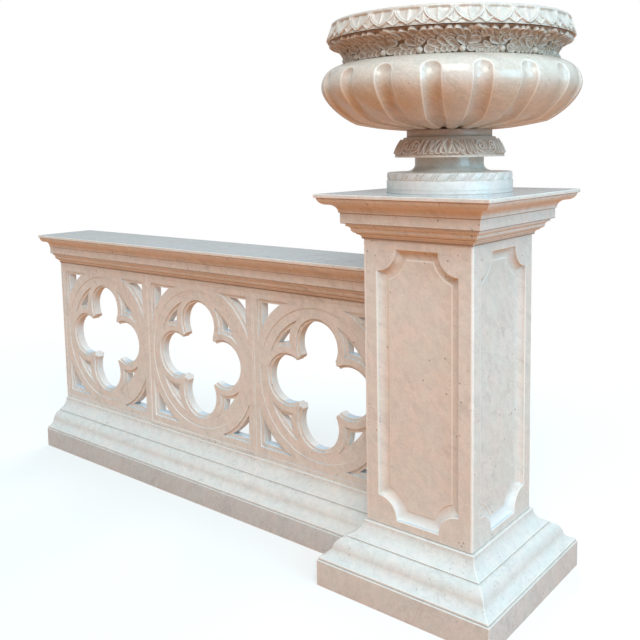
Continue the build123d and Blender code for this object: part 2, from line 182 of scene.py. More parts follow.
def studio_light():
    """A white room: cool light from above, warmer light from the sides, and six soft lamps."""
    made = bpy.data.worlds.new("studio")
    bpy.context.scene.world = made
    made.use_nodes = True
    s = Nodes(made.node_tree)
    s.nodes.clear()
    place = s.new("ShaderNodeTexCoord").outputs["Generated"]
    height = s.new("ShaderNodeSeparateXYZ", {0: place}).outputs["Z"]
    tint = s.mix(s.ramp(height, *SKY_TURN), WARM_SIDE, COOL_SKY)
    soft = s.new("ShaderNodeBackground", {"Color": tint, "Strength": SKY_LEVEL})
    white = s.new("ShaderNodeBackground", {"Color": (1, 1, 1, 1), "Strength": 1.0})
    ray = s.new("ShaderNodeLightPath").outputs
    mirrored = s.math("MULTIPLY_ADD", ray["Is Glossy Ray"], MIRRORED_WHITE, ray["Is Camera Ray"])
    seen = s.math("MAXIMUM", mirrored, ray["Is Transmission Ray"])
    s.new("ShaderNodeOutputWorld", {"Surface": s.blend(seen, soft, white).outputs[0]})
    lamp("high_soft", (2.8, -4.0, 6.0), (-0.6, 0, 0.8), 4.0, 336, (0.93, 0.98, 0.99))
    lamp("right_window", (4.2, -0.6, 2.2), (0, 0, 0.9), 2.6, 102, (0.44, 0.93, 1.20))
    lamp("left_cool", (-5.0, -2.6, 1.6), (-1.8, 0, 0.5), 2.5, 36, (0.45, 0.93, 1.15), mirrored=False)
    lamp("left_high", (-4.0, -1.5, 4.5), (-0.6, 0, 1.5), 2.5, 18, (0.20, 1.0, 1.4), mirrored=False)
    lamp("front_warm", (-1.6, -5.0, 0.7), (-0.7, 0, 0.7), 3.0, 20, (1.0, 0.70, 0.45), mirrored=False)
    lamp("back_soft", (-2.8, 4.2, 3.4), (-0.7, 0, 0.8), 3.0, 120, (0.94, 0.97, 1.0), mirrored=False)


# ---------------------------------------- marble

FALLING = (35, -45, 0)          # degrees: streaks run down to the right on the front and on the right side
RISING = (25, 30, 0)
ROSY = (1.035, 0.983, 0.966, 1)
ASHEN = (0.982, 1.002, 0.980, 1)
VEIN = (0.34, 0.31, 0.29, 1)
CRYSTAL = (0.93, 0.90, 0.87, 1)
PIT = (0.20, 0.14, 0.10, 1)
# painted light: the pale cool colour of the cut sides of a pierced opening, which are also paler stone, and
# of a panel's upward-facing sill
LIT_PALE = (0.80, 0.83, 0.84, 1)
LIT_PALE_SHARE = 0.8
# lighter rubbed edges, also painted highlight; grime in joints, also painted shade in creases, hollows and
# carving
RUBBED_AND_HIGHLIGHT = (0.92, 0.88, 0.84, 1)
RUBBED_AND_HIGHLIGHT_SHARE = 0.62
GRIME_AND_SHADE = (0.26, 0.165, 0.11, 1)
GRIME_AND_SHADE_SHARE = 0.80
UNDERSIDE_SHADE = (0.97, 0.91, 0.83, 1)       # painted shade: undersides are painted warmer and darker
RIGHT_SIDE_LIGHT = (1.012, 1.075, 1.10, 1)      # painted light: upright faces towards +X are painted cooler and lighter
TOP_REFLECTION = (0.724, 0.862, 0.995, 1)  # painted reflection: polished tops are painted cooler and darker, as mirroring the sky
POLISH = 0.13                   # their roughness


class Shader(Nodes):
    """The nodes of one material, with the patterns that marble is made of."""

    def __init__(self, name):
        self.material = bpy.data.materials.new(name)
        self.material.use_nodes = True
        super().__init__(self.material.node_tree)
        self.skin = self.nodes["Principled BSDF"]
        self.place = self.new("ShaderNodeTexCoord").outputs["Object"]

    def drawn(self, turn, stretch):
        """Places turned to a slant and drawn out along it."""
        node = self.nodes.new("ShaderNodeMapping")
        node.vector_type = "TEXTURE"
        rotation = [radians(angle) for angle in turn]
        inputs = {"Vector": self.place, "Rotation": rotation, "Scale": (1, 1, stretch)}
        return self.fed(node, inputs).outputs[0]

    def noise(self, place, scale, detail, roughness=0.55, distortion=0.0):
        return self.new("ShaderNodeTexNoise", {
            "Vector": place, "Scale": scale, "Detail": detail, "Roughness": roughness,
            "Distortion": distortion}).outputs["Fac"]

    def cells(self, place, scale):
        """How far a place lies from its cell's middle, and the cell's own number from 0 to 1."""
        node = self.new("ShaderNodeTexVoronoi", {"Vector": place, "Scale": scale})
        number = self.new("ShaderNodeSeparateColor", {0: node.outputs["Color"]})
        return node.outputs["Distance"], number.outputs[0]

    def attribute(self, name):
        node = self.nodes.new("ShaderNodeAttribute")
        node.attribute_name = name
        return node.outputs["Fac"]

    def times(self, *shares):
        product = shares[0]
        for share in shares[1:]:
            product = self.math("MULTIPLY", product, share)
        return product


def bedded_stone(s, cream, grey, veins, bedded, streaked):
    """The sound stone's colour: clouds, blush, mottling, streaks, hairline veins and light grains."""
    darker = (*[0.80 * part for part in cream], 1)
    colour = s.mix(s.ramp(s.noise(s.place, 1.7, 4, 0.6, 0.6), 0.38, 0.66), (*cream, 1), (*grey, 1))
    blush = s.mix(s.ramp(s.noise(bedded, 15, 3, 0.5, 0.4), 0.36, 0.64), ROSY, ASHEN)
    colour = s.mix(1.0, colour, blush, "MULTIPLY")
    colour = s.mix(s.ramp(s.noise(bedded, 38, 4, 0.6, 0.6), 0.34, 0.68, 0.0, 0.52), colour, darker)
    streak = s.ramp(s.noise(streaked, 24, 5, 0.62, 0.3), 0.52, 0.70)
    patch = s.ramp(s.noise(s.place, 3.1, 2), 0.38, 0.58)
    colour = s.mix(s.times(streak, patch), colour, darker)
    off_line = s.math("ABSOLUTE", s.math("SUBTRACT", s.noise(streaked, 8, 6, 0.6, 1.4), 0.5))
    line = s.ramp(off_line, 0.0, 0.010, 1.0, 0.0)
    colour = s.mix(s.times(line, patch, veins), colour, VEIN)
    return s.mix(s.ramp(s.noise(bedded, 190, 3, 0.7), 0.38, 0.68, 0.0, 0.24), colour, CRYSTAL)


def pitting(s, pits, bedded):
    """Small pits in a few cells of the bedding, in some places only."""
    distance, number = s.cells(bedded, 78)
    spot = s.ramp(distance, 0.10, 0.24, 1.0, 0.0)
    rare = s.ramp(number, 0.85, 0.87)
    where = s.ramp(s.noise(s.place, 4.5, 2), 0.46, 0.60)
    return s.times(spot, rare, where, pits)


def marble(
        name, cream, grey, roughness=0.36, pits=0.5, veins=0.30, slant=RISING, polish_and_top_reflection=0.0,
        right_side_light=0.0):
    """Marble that clouds from one colour into another, its pattern drawn out along a slant.  The piece's
    attribute for wear and shade is 1 on rubbed light edges, which also stand for painted highlight, and -1 in
    dark joints and, as painted shade, in creases, hollows, under overhangs and in deep carving; its attribute
    for painted light is 1 on the pale cut sides of a pierced opening, also painted cool, and fades out up the
    lower part of a panel's hollow, painted pale and cool where it faces up."""
    s = Shader(name)
    bedded, streaked = s.drawn(slant, 2.4), s.drawn(slant, 6.0)
    colour = bedded_stone(s, cream, grey, veins, bedded, streaked)
    pit = pitting(s, pits, bedded)
    colour = s.mix(pit, colour, PIT)
    # painted light: pale and cool on the cut sides of openings and up from a panel's sill
    colour = s.mix(s.times(s.attribute("lit_pale"), LIT_PALE_SHARE), colour, LIT_PALE)
    # painted highlight with the rubbed edges where the value is positive; painted shade with the grime and
    # dark joints where it is negative
    wear_and_shade = s.attribute("wear_and_shade")
    colour = s.mix(s.ramp(wear_and_shade, 0.0, 1.0, 0.0, RUBBED_AND_HIGHLIGHT_SHARE), colour, RUBBED_AND_HIGHLIGHT)
    colour = s.mix(s.ramp(wear_and_shade, -1.0, 0.0, GRIME_AND_SHADE_SHARE, 0.0), colour, GRIME_AND_SHADE)
    normal = s.new("ShaderNodeNewGeometry").outputs["Normal"]
    facing = s.new("ShaderNodeSeparateXYZ", {0: normal}).outputs
    # painted reflection of the sky on level tops, which also take the polish's low roughness
    top = s.ramp(facing["Z"], 0.93, 0.99, 0.0, polish_and_top_reflection)
    # painted shade: faces that look down are painted warmer and darker
    colour = s.mix(s.ramp(facing["Z"], -0.65, -0.15, 1.0, 0.0), colour, UNDERSIDE_SHADE, "MULTIPLY")
    # painted light: upright faces towards +X are painted cooler and lighter
    colour = s.mix(s.ramp(facing["X"], 0.90, 0.98, 0.0, right_side_light), colour, RIGHT_SIDE_LIGHT, "MULTIPLY")
    colour = s.mix(top, colour, TOP_REFLECTION, "MULTIPLY")
    s.join(colour, s.skin.inputs["Base Color"])
    wear = s.ramp(s.noise(s.place, 9, 4), 0.3, 0.7, roughness * 0.85, roughness * 1.2)
    s.join(s.ramp(top, 0, 1, wear, POLISH), s.skin.inputs["Roughness"])
    s.skin.inputs["IOR"].default_value = 1.5
    height = s.math("SUBTRACT", s.noise(s.place, 160, 3), pit)
    bump = s.new("ShaderNodeBump", {"Distance": 0.6 * MM, "Strength": 0.35, "Height": height})
    s.join(bump.outputs[0], s.skin.inputs["Normal"])
    return s.material


honed = marble(
    "honed_marble", (0.755, 0.690, 0.635), (0.755, 0.720, 0.690), 0.40, 0.9, 0.30, FALLING, polish_and_top_reflection=1.0,
    right_side_light=1.0)
pale = marble("pale_marble", (0.760, 0.755, 0.740), (0.720, 0.722, 0.718))
grey = marble("grey_marble", (0.715, 0.735, 0.730), (0.700, 0.725, 0.730))
# painted light: a cooler, bluer copy of the plinth marble for the rail's plinth, standing in for the cool
# light on it
cool_lit_footing = marble("cool_lit_footing_marble", (0.620, 0.690, 0.725), (0.610, 0.682, 0.722))
glossy = marble("glossy_marble", (0.635, 0.583, 0.522), (0.640, 0.598, 0.547), 0.17, 0.3, 0.15, FALLING)
CARVING = {"roughness": 0.34, "pits": 0.1, "veins": 0.05}
# painted shade: a darker, warmer copy of the carved marble for the neck, its leaves and the disc, which lie
# in the rim's and bowl's shade
shade_painted = marble("shade_painted_marble", (0.505, 0.430, 0.365), (0.505, 0.450, 0.390), **CARVING)
carved = marble("carved_marble", (0.720, 0.610, 0.530), (0.720, 0.625, 0.560), **CARVING)
rim_white = marble("rim_marble", (0.645, 0.608, 0.562), (0.645, 0.622, 0.585), **CARVING)
foot_white = marble("foot_marble", (0.765, 0.705, 0.675), (0.760, 0.715, 0.690), pits=0.4, veins=0.20)


# ---------------------------------------- shared shape tools

def smoothstep(low, high, value):
    share = min(max((value - low) / (high - low), 0.0), 1.0)
    return share * share * (3 - 2 * share)


def finished(name, mesh, finish, slot, *nodes):
    """Makes a mesh a piece of the stone that stands for these nodes."""
    made = link(name, mesh)
    mesh.materials.clear()
    mesh.materials.append(finish)
    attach(made, "root")
    if nodes:
        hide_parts(*nodes)
    return made


def eased(work, name, sharp_over):
    """Closes a bmesh's seams, points its faces outwards and smooths what isn't an edge."""
    bmesh.ops.remove_doubles(work, verts=work.verts, dist=0.01 * MM)
    bmesh.ops.recalc_face_normals(work, faces=work.faces)
    mesh = bpy.data.meshes.new(name)
    work.to_mesh(mesh)
    work.free()
    mesh.shade_smooth()
    mesh.set_sharp_from_angle(angle=radians(sharp_over))
    return mesh


def ring_tree():
    """Repeats one unit round the urn's axis and closes the joins."""
    tree = bpy.data.node_groups.new("ring_of_units", "GeometryNodeTree")
    sockets = {"Unit": "Geometry", "Count": "Int", "First turn": "Float", "Finish": "Material"}
    for name, kind in sockets.items():
        tree.interface.new_socket(name, in_out="INPUT", socket_type="NodeSocket" + kind)
    tree.interface.new_socket("Ring", in_out="OUTPUT", socket_type="NodeSocketGeometry")
    s = Nodes(tree)
    given = s.new("NodeGroupInput").outputs
    points = s.new("GeometryNodePoints", {"Count": given["Count"]})
    share = s.math("DIVIDE", s.new("GeometryNodeInputIndex").outputs[0], given["Count"])
    turn = s.math("MULTIPLY_ADD", share, 2 * pi, given["First turn"])
    about = s.new("ShaderNodeCombineXYZ", {"Z": turn})
    copies = s.new("GeometryNodeInstanceOnPoints", {
        "Points": points.outputs[0], "Instance": given["Unit"], "Rotation": about.outputs[0]})
    real = s.new("GeometryNodeRealizeInstances", {0: copies.outputs[0]})
    closed = s.new("GeometryNodeMergeByDistance", {"Geometry": real.outputs[0], "Distance": 0.02 * MM})
    finish = s.new("GeometryNodeSetMaterial", {"Geometry": closed.outputs[0], "Material": given["Finish"]})
    s.new("NodeGroupOutput", {0: finish.outputs[0]})
    return tree


RING = ring_tree()


def ring_of(name, unit, count, first_turn, finish, slot, *nodes):
    """A ring of units about the urn's axis, made one plain mesh."""
    maker = link(name + "_unit", unit)
    modifier = maker.modifiers.new("ring", "NODES")
    modifier.node_group = RING
    values = {"Count": count, "First turn": radians(first_turn), "Finish": finish}
    for item in RING.interface.items_tree:
        if item.name in values:
            modifier[item.identifier] = values[item.name]
    graph = bpy.context.evaluated_depsgraph_get()
    mesh = bpy.data.meshes.new_from_object(maker.evaluated_get(graph))
    mesh.name = name
    maker.modifiers.remove(modifier)
    bpy.data.objects.remove(maker)
    return finished(name, mesh, finish, slot, *nodes)


TURNED_SIDES = 120


def turned(radius, turn, height):
    """The place, in metres, at a radius and height in millimetres, turned about the urn's axis."""
    return Vector((radius * cos(turn), radius * sin(turn), height)) * MM


class Outline:
    """A turned outline of (radius, height) points in millimetres, read by the distance along it.  Steepness
    draws that distance in where the outline leans away: 0 keeps it true, 1 reads by height alone."""

    def __init__(self, points, bed, steepness=0.0):
        self.points = [Vector((radius, height + bed)) for radius, height in points]
        self.marks = [0.0]
        for a, b in zip(self.points, self.points[1:]):
            step = (1 - steepness) * (b - a).length + steepness * abs(b.y - a.y)
            self.marks.append(self.marks[-1] + step)
        self.length = self.marks[-1]

    def at(self, along):
        along = min(max(along, 0.0), self.length)
        index = 0
        while index < len(self.marks) - 2 and self.marks[index + 1] < along:
            index += 1
        span = self.marks[index + 1] - self.marks[index]
        return self.points[index].lerp(self.points[index + 1], (along - self.marks[index]) / span)

    def place(self, turn, along, proud):
        """The point at a turn (radians) and a distance along the outline, raised from it by proud."""
        reach = 1.5
        at = self.at(along)
        tangent = (self.at(along + reach) - self.at(along - reach)).normalized()
        return turned(at.x + tangent.y * proud, turn, at.y - tangent.x * proud)

    def spot(self, across, along, proud):
        """The same for a point that lies a distance across from the middle of its pitch."""
        return self.place(across / self.at(along).x, along, proud)


def curve_points(start, first, second, end, count):
    """Points on a Bezier curve, without its last one."""
    knots = [Vector((*point, 0)) for point in (start, first, second, end)]
    return [(p.x, p.y) for p in interpolate_bezier(*knots, count + 1)[:-1]]


def sheet(work, rows):
    """Quads between rows of points, each a list of places."""
    laid = [[work.verts.new(place) for place in row] for row in rows]
    for low, high in zip(laid, laid[1:]):
        for index in range(len(low) - 1):
            work.faces.new((low[index], low[index + 1], high[index + 1], high[index]))
    return laid


def round_pairs(loop):
    """Each item of a closed loop with the one after it."""
    return zip(loop, loop[1:] + loop[:1])


def relief_unit(name, outline, pitch, columns, rows, relief, rest):
    """One pitch of a carved band: relief(across, along) gives its height above the turned outline and its
    value for wear and shade, which lightens rubbed edges as painted highlight and darkens hollows as painted
    shade; rest is the plain way round from the band's top back to its bottom, as (radius, height)."""
    work = bmesh.new()
    wear_and_shade = work.verts.layers.float.new("wear_and_shade")
    half = radians(pitch) / 2
    turns = [half * (2 * column / columns - 1) for column in range(columns + 1)]
    places, wears = [], []
    for row in range(rows + 1):
        along = outline.length * row / rows
        radius = outline.at(along).x
        carved_row = [relief(turn * radius, along) for turn in turns]
        places.append([outline.place(turn, along, proud) for turn, (proud, _) in zip(turns, carved_row)])
        wears.append([wear for _, wear in carved_row])
    for radius, height in rest:
        places.append([turned(radius, turn, height) for turn in turns])
    for verts, values in zip(sheet(work, places), wears):
        for vert, value in zip(verts, values):
            vert[wear_and_shade] = value
    sheet(work, [places[-1], places[0]])
    return eased(work, name, 50)


def turned_stone(name, points, bed, finish, slot, *nodes, wear=0.0):
    """A round stone with eased edges, from its outline of (radius, height), which runs from axis to axis."""
    work = bmesh.new()
    wear_and_shade = work.verts.layers.float.new("wear_and_shade")
    turns = [2 * pi * side / TURNED_SIDES for side in range(TURNED_SIDES + 1)]
    sheet(work, [[turned(radius, turn, height + bed) for turn in turns] for radius, height in points])
    for vert in work.verts:
        vert[wear_and_shade] = wear
    return finished(name, eased(work, name, 40), finish, slot, *nodes)


# ---------------------------------------- fluted bowl

FLUTES = 18
FLUTE_TURN = -6.0
FLUTE_HALF = 28.5               # half of a flute's full width
FLUTE_FOOT_HALF = 12.0
FLUTE_FULL = 158.0              # along the side from the foot to where a flute is at its full width
FLUTE_DEPTH = 13.0
FLUTE_ROUND = 2.6               # how square its hollow is: 2 is a parabola
FLUTE_ARRIS = 0.9
FLUTE_HEAD_BELOW = 58.0         # along the shoulder, from the flute's head to the neck
FLUTE_MARGIN = 9.0              # the even border outside a flute
LOBE_SWELL = 2.0
BOWL_FOOT = 150.0
BOWL_SAG = 3.0                  # of the nearly level underside
BOWL_TURN = (306.0, 22.0)       # where the underside turns up into the belly
BOWL_WIDEST = (411.0, 137.0)
BOWL_SHOULDER = (341.0, 205.0)
BASIN = 285.0                   # radius of the hollow inside the bowl, the neck and the rim
BOWL_INSIDE = ((338, 206), (BASIN, 206), (BASIN, 90), (240, 45), (0, 45))
FLAT_SCALE = 300.0              # millimetres to a radian where the pitch is laid out flat


def bowl_outline(bed):
    """The bowl's side: its underside, its belly and its shoulder in to the neck."""
    out, up = BOWL_TURN[0] - BOWL_FOOT, BOWL_TURN[1]
    points = [(BOWL_FOOT, 0.0)]
    points += [(BOWL_FOOT + out * n / 12, up * n / 12 - BOWL_SAG * sin(pi * n / 12)) for n in range(1, 12)]
    points += curve_points(BOWL_TURN, (358.5, 47), (411, 98), BOWL_WIDEST, 22)
    points += curve_points(BOWL_WIDEST, (411, 172), (383, 204), BOWL_SHOULDER, 16)
    points.append(BOWL_SHOULDER)
    return Outline(points, bed)


def fluted_pitch(bed):
    """One flute with its round head, between two half lobes, closed round to the basin and the foot."""
    side = bowl_outline(bed)
    half = pi / FLUTES
    turns = [half * column / 4 for column in range(-4, 5)]
    head = side.length - FLUTE_HEAD_BELOW - FLUTE_HALF
    marks, found, lines = [], {}, []

    def mark(turn, along):
        key = (round(turn * FLAT_SCALE, 2), round(along, 2))
        if key not in found:
            found[key] = len(marks)
            marks.append(Vector(key))
        return found[key]

    def width(along):
        return FLUTE_FOOT_HALF + (FLUTE_HALF - FLUTE_FOOT_HALF) * min(along / FLUTE_FULL, 1.0)

    def radius(along):
        return side.at(along).x

    rows = [FLUTE_FULL * n / 15 for n in range(15)]
    rows += [FLUTE_FULL + (head - FLUTE_FULL) * n / 30 for n in range(31)]
    above = [head + (side.length - head) * n / 9 for n in range(1, 10)]
    rims = [(share, 0.0) for share in (0.2, 0.4, 0.6, 0.76, 0.88, 0.95, 1.0)]
    rims += [(1.0, out) for out in (0.9, 2.0, 4.5, FLUTE_MARGIN)]
    for share, out in rims:
        line = [mark((share * width(row) + out) / radius(row), row) for row in rows]
        reach = share * FLUTE_HALF + out
        for step in range(1, 20):
            swing = pi * step / 20
            along = head + reach * sin(swing)
            line.append(mark(reach * cos(swing) / radius(along), along))
        line += [mark(-(share * width(row) + out) / radius(row), row) for row in reversed(rows)]
        lines += list(zip(line, line[1:]))
    for row in rows:
        mark(0, row)
        edge = (width(row) + FLUTE_MARGIN) / radius(row)
        for part in (0.3, 0.65, 1.0):
            for hand in (-1, 1):
                mark(hand * (edge + (half - edge) * part), row)
    for row in above:
        for turn in turns:
            clear = hypot(turn * radius(row), row - head) > FLUTE_HALF + FLUTE_MARGIN + 5
            if clear or abs(turn) == half:
                mark(turn, row)

    flat, _, faces, *_ = delaunay_2d_cdt(marks, lines, [], 0, 0.001)
    work = bmesh.new()
    wear_and_shade = work.verts.layers.float.new("wear_and_shade")
    verts = []
    for point in flat:
        turn, along = point.x / FLAT_SCALE, point.y
        across = abs(turn * radius(along))
        away = across if along < head else hypot(across, along - head)
        depth = FLUTE_DEPTH * width(along) / FLUTE_HALF
        hollow = (1 - (away / width(along)) ** FLUTE_ROUND) * depth
        outside = max(away - width(along), 0.0)
        rounded = max(FLUTE_ARRIS - abs(hollow), 0.0)
        sunk = max(hollow, 0.0) + rounded ** 2 / (4 * FLUTE_ARRIS)
        crown = half * radius(along)
        slack = min(max((crown - across) / (crown - width(along)), 0.0), 1.0)
        sunk += LOBE_SWELL * slack ** 2 * (1 - smoothstep(head, side.length, along))
        vert = work.verts.new(side.place(turn, along, -sunk))
        # lighter along each flute's arris: rubbed edge and painted highlight
        off_arris = smoothstep(0.6, 3.0, outside) if hollow < 0.1 else smoothstep(0.8, 3.2, hollow)
        vert[wear_and_shade] = 0.85 * (1 - off_arris)
        verts.append(vert)
    for face in faces:
        work.faces.new([verts[index] for index in face])

    top_row = [side.place(turn, side.length, 0) for turn in turns]
    inside = [[turned(at_radius, turn, height + bed) for turn in turns] for at_radius, height in BOWL_INSIDE]
    sheet(work, [top_row, *inside])
    foot = sorted((p.x, vert) for p, vert in zip(flat, verts) if p.y < 0.01)
    centre = work.verts.new((0, 0, bed * MM))
    for (_, a), (_, b) in zip(foot, foot[1:]):
        work.faces.new((a, centre, b))
    return eased(work, "bowl_pitch", 50)


# ---------------------------------------- rim of hearts

HEARTS = 28
HEART_TURN = -63.4
HEART_GAP = 43.9                # half of one heart's pitch
HEART = {"tip": 4.5, "top": 60.0, "half": 43.0, "bend": 2.7}
LOWER_LEAF = {"tip": 3.0, "top": 46.0, "half": 38.0, "bend": 1.7}
LOWER_LEVEL = -2.4              # of the lower leaf, above the outline
GROUND_LEVEL = -6.5
RIM_SIDE = ((390.5, 0), (392, 1.5), (392, 6), (374.6, 57.2), (373.5, 58))


def leaf_edge(across, along, tip, top, half, bend):
    """Distance inside the edge of a leaf that hangs down to its tip, and how far across it the point lies."""
    rise = min((along - tip) / (top - tip), 0.999)
    if rise <= 0:
        return -hypot(across, along - tip), 0.0
    reach = half * (1 - (1 - rise) ** bend) * (1 - 0.10 * smoothstep(0.72, 1.0, rise))
    slope = half * bend * (1 - rise) ** (bend - 1) / (top - tip)
    return (reach - abs(across)) / sqrt(1 + slope * slope), abs(across) / max(reach, 1.0)


def heart_relief(across, along):
    """A hollowed heart with an edge painted light and a rib, over a lower leaf that shows between two of
    them; the hollows and the ground are painted in shade.
    """
    fillet = 1 - smoothstep(1.0, 3.0, along)
    ground = GROUND_LEVEL + 4.0 * fillet
    # painted shade on the ground between the hearts; the lower leaf's edge is painted highlight and its
    # middle painted shade
    wear = -0.42 * (1 - fillet)
    behind, share = leaf_edge(HEART_GAP - abs(across), along, **LOWER_LEAF)
    if behind > 0:
        rib = 1.8 * exp(-(share / 0.12) ** 2) * smoothstep(3, 9, behind)
        hollow = -2.8 * smoothstep(2.4, 7, behind) + rib
        if LOWER_LEVEL + hollow > ground:
            ground = LOWER_LEVEL + hollow
            wear = 0.75 * exp(-((behind - 1.4) / 1.4) ** 2) - 0.22 * smoothstep(3, 8, behind)
    front, share = leaf_edge(across, along, **HEART)
    blend = smoothstep(-1.0, 0.8, front)
    edge = -1.9 * exp(-((front - 4.6) / 1.1) ** 2)
    hollow = -6.0 * smoothstep(4.5, 16.0, front) * (0.55 + 0.45 * smoothstep(15, 45, along))
    inner = smoothstep(5, 13, front)
    rib = 3.8 * exp(-(share / 0.14) ** 2) * inner * (1 - 0.6 * smoothstep(35, 58, along))
    # painted highlight on the heart's edge and rib, painted shade just inside the edge and in its hollow
    light = 0.85 * exp(-((front - 2.0) / 1.7) ** 2) + 0.35 * exp(-(share / 0.10) ** 2) * inner
    dark = 0.38 * exp(-((front - 5.6) / 1.6) ** 2) + 0.14 * smoothstep(6, 14, front)
    under_top = 1 - smoothstep(50.0, 56.0, along)
    proud = ground * (1 - blend) + (edge + hollow + rib) * blend
    return proud * under_top, (wear * (1 - blend) + (light - dark) * blend) * under_top


# ---------------------------------------- carved leaves

PETAL_ACROSS = (-1.0, -0.9, -0.66, -0.34, 0.0, 0.34, 0.66, 0.9, 1.0)
PETAL_ALONG = (0.0, 0.18, 0.38, 0.58, 0.74, 0.86, 0.94, 0.985, 1.0)
PETAL_WIDEST = 0.62             # share of its length where a lobe is widest
PETAL_ROLL = 1.8                # how far its outermost edge is turned down
PETAL_ROOT = -2.0               # where its skirt ends, within the stone
LEAF_LIFT = 7.0
RIDGE_SECTION = ((-1.0, -1.5), (-0.8, 0.6), (-0.4, 0.95), (0.0, 1.0), (0.4, 0.95), (0.8, 0.6), (1.0, -1.5))


def outer_loop(rows):
    """What lies round the outside of a grid, in order."""
    return rows[0] + [row[-1] for row in rows[1:]] + rows[-1][-2::-1] + [row[0] for row in rows[-2:0:-1]]


def petal(work, outline, across, along, heading, length, width, lift, curl, sunk, waist):
    """A scooped lobe of a leaf with a raised edge painted light, its middle and the skirt beneath it painted
    in shade, laid on a turned outline: it starts at (across, along), heads off at an angle from level and
    ends in a round tip that curls up."""
    wear_and_shade = work.verts.layers.float["wear_and_shade"]
    head = Vector((cos(radians(heading)), sin(radians(heading))))
    hand = Vector((-head.y, head.x))
    start = Vector((across, along))
    rows, wears = [], []
    for step in PETAL_ALONG:
        bulge = waist + (1 - waist) * sin(pi * min(step / PETAL_WIDEST, 1) / 2)
        bulge *= sqrt(max(1 - max((step - PETAL_WIDEST) / (1 - PETAL_WIDEST), 0) ** 2, 0.03))
        row, wear = [], []
        for share in PETAL_ACROSS:
            at = start + head * length * step + hand * share * width / 2 * bulge
            edge = max(abs(share), smoothstep(0.74, 0.97, step))
            cup = sunk * (smoothstep(0.2, 0.88, edge) - 1)
            drop = PETAL_ROLL if abs(share) == 1.0 or step == 1.0 else 0.0
            row.append((at.x, at.y, lift + cup + curl * step ** 2 - drop))
            # painted highlight on the raised edge, painted shade in the scooped middle
            wear.append(0.42 * smoothstep(0.78, 0.94, edge) - 0.68 * (1 - smoothstep(0.3, 0.9, edge)))
        rows.append(row)
        wears.append(wear)
    laid = sheet(work, [[outline.spot(*point) for point in row] for row in rows])
    for verts, wear in zip(laid, wears):
        for vert, value in zip(verts, wear):
            vert[wear_and_shade] = value
    loop = outer_loop(laid)
    # painted shade: the skirt under the lobe is darkened
    under = [work.verts.new(outline.spot(x, y, PETAL_ROOT)) for x, y, _ in outer_loop(rows)]
    for vert in under:
        vert[wear_and_shade] = -1.0
    for (a, below_a), (b, below_b) in round_pairs(list(zip(loop, under))):
        work.faces.new((a, below_a, below_b, b))
    work.faces.new(under)


def bead(work, outline, across, along, radius, proud):
    """A round bead half sunk in the stone."""
    wear_and_shade = work.verts.layers.float["wear_and_shade"]
    middle = Matrix.Translation(outline.spot(across, along, proud))
    made = bmesh.ops.create_uvsphere(work, u_segments=14, v_segments=9, radius=radius * MM, matrix=middle)
    # painted highlight: the bead is lightened a little
    for vert in made["verts"]:
        vert[wear_and_shade] = 0.3


def ridge(work, outline, path, thick, tall, wear=0.8):
    """A raised moulding of round section along a path of (across, along) points."""
    wear_and_shade = work.verts.layers.float["wear_and_shade"]
    rows = []
    for index, point in enumerate(path):
        before, after = path[max(index - 1, 0)], path[min(index + 1, len(path) - 1)]
        ahead = Vector((after[0] - before[0], after[1] - before[1])).normalized()
        hand = Vector((-ahead.y, ahead.x))
        swell = min(1.0, 0.35 + min(index, len(path) - 1 - index) * 0.25)
        row = []
        for share, high in RIDGE_SECTION:
            at = Vector(point) + hand * share * thick / 2 * swell
            row.append(outline.spot(at.x, at.y, high * tall * swell if high > 0 else high))
        rows.append(row)
    laid = sheet(work, rows)
    # painted highlight along the ridge's crown, painted shade down its flanks
    for row in laid:
        for vert, (share, _) in zip(row, RIDGE_SECTION):
            vert[wear_and_shade] = wear * (1 - abs(share)) - 0.7 * abs(share) ** 3
    for row in (laid[0], laid[-1]):
        work.faces.new(row)
    for low, high in zip(laid, laid[1:]):
        work.faces.new((low[0], low[-1], high[-1], high[0]))


def leaf(work, outline, root, tip, bow, lobes, end):
    """A leaf laid along a bowed rib from root to tip, with a broad body under its lobes.  Each lobe is
    (share of the rib, side, lean from the rib, length, width); end is the tip's (length, width, lean)."""
    root, ahead = Vector(root), Vector(tip) - Vector(root)
    hand = Vector((-ahead.y, ahead.x)).normalized()

    def rib(share):
        return root + ahead * share + hand * bow * 4 * share * (1 - share)

    def heading(share):
        step = rib(share + 0.02) - rib(share - 0.02)
        return degrees(atan2(step.y, step.x))

    length, width, lean = end
    petal(
        work, outline, root.x, root.y, heading(0.3), ahead.length * 1.05, width * 0.85,
        lift=LEAF_LIFT - 1.5, curl=0, sunk=1.0, waist=0.5)
    at = rib(0.80)
    petal(
        work, outline, at.x, at.y, heading(0.84) + lean, length + 3, width, lift=LEAF_LIFT, curl=4,
        sunk=3.0, waist=0.7)
    for share, side, lean, length, width in lobes:
        at = rib(share)
        petal(
            work, outline, at.x, at.y, heading(share) + side * lean, length + 1, width * 1.06,
            lift=LEAF_LIFT + 1.5 * (1 - share), curl=2.5, sunk=3.0, waist=0.6)
    ridge(work, outline, [rib(share / 10) for share in range(10)], 5.0, LEAF_LIFT + 1.5, 0.0)


LEAF_UNITS = 9
LEAF_TURN = -73.3
BEAD_GAP = 118.0                # from one bead to the next
NECK_PITCHES = 90               # plain pitches of the wall behind the leaves
NECK_FLARE = (384.0, 70.5)      # where the wall meets the rim
